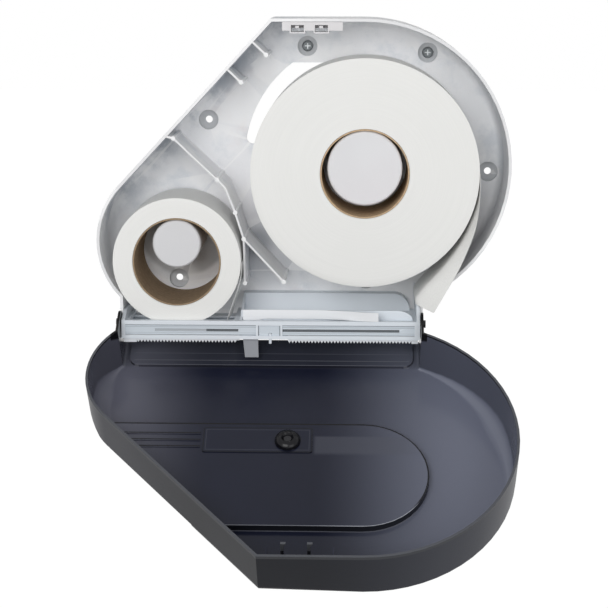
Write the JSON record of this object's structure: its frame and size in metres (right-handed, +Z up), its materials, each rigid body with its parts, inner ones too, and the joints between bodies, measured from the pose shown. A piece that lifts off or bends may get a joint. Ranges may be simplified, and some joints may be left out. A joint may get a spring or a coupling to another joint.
{
  "type": "twin-roll toilet paper dispenser",
  "caption": "Wall-mounted toilet paper dispenser for a jumbo roll and a stub roll, with exit shutter, tear strips and a dark hinged cover that hangs open.",
  "frame": {"origin": "On the wall plane, on the axis of the large roll's hub, where the root pad behind the hub meets the wall.", "axes": "X to the right seen from the front, Y into the wall, Z up. The stub roll is on the -X side."},
  "size_m": [0.4249, 0.3578, 0.5106],
  "materials": {
    "base_grey": "fine satin moulded grey plastic",
    "hub_grey": "satin light grey plastic",
    "tray_white": "satin white moulded plastic",
    "cutter_white": "smooth white plastic strip",
    "strip_white": "smooth flexible white plastic",
    "smoke": "polished dark smoke plastic",
    "clip_black": "polished black plastic",
    "badge_grey": "blank satin dark plastic",
    "tab_grey": "satin mid grey plastic",
    "screw_steel": "dark zinc plated steel",
    "pin_black": "smooth black plastic",
    "spring_steel": "bright drawn spring wire",
    "paper_white": "soft matt tissue",
    "core_kraft": "brown kraft board"
  },
  "bodies": {
    "base": {"base_shell": "base_grey", "jumbo_spindle": "hub_grey", "stub_spindle": "hub_grey", "tray_housing": "tray_white", "cutter_left": "cutter_white", "cutter_right": "cutter_white", "brake_strip": "strip_white", "shutter_stop_pin": "tray_white", "latch_bracket": "tray_white", "latch_spring": "spring_steel", "mounting_screw_left": "screw_steel", "mounting_screw_right": "screw_steel", "hinge_pin_left": "pin_black", "hinge_pin_right": "pin_black", "stub_tail": "paper_white", "jumbo_tail": "paper_white"},
    "cover": {"cover_shell": "smoke", "cover_badge": "badge_grey", "badge_clip": "clip_black"},
    "shutter": {"shutter_plate": "tray_white", "shutter_tab": "tab_grey"},
    "latch": {"latch_slider": "tray_white"},
    "jumbo_roll": {"jumbo_core": "core_kraft", "jumbo_paper": "paper_white"},
    "stub_roll": {"stub_core": "core_kraft", "stub_paper": "paper_white"}
  },
  "joints": [
    {"name": "cover_hinge", "type": "hinge", "parent": "base", "child": "cover", "pos_m": [0, -0.092, -0.16], "axis": [-1, 0, 0], "range_deg": [0, 122.9], "deforming": ["jumbo_tail"]},
    {"name": "shutter_slide", "type": "slide", "parent": "base", "child": "shutter", "axis": [1, 0, 0], "range_m": [-0.118, 0.007]},
    {"name": "latch_slide", "type": "slide", "parent": "base", "child": "latch", "axis": [1, 0, 0], "range_m": [0, 0.004], "stiffness_N_per_m": 300, "deforming": ["latch_spring"]},
    {"name": "jumbo_roll_spin", "type": "hinge", "parent": "base", "child": "jumbo_roll", "pos_m": [0, -0.011, -0.0055], "axis": [0, 1, 0], "continuous": true},
    {"name": "stub_roll_spin", "type": "hinge", "parent": "base", "child": "stub_roll", "pos_m": [-0.192, -0.011, -0.0967], "axis": [0, 1, 0], "continuous": true}
  ]
}
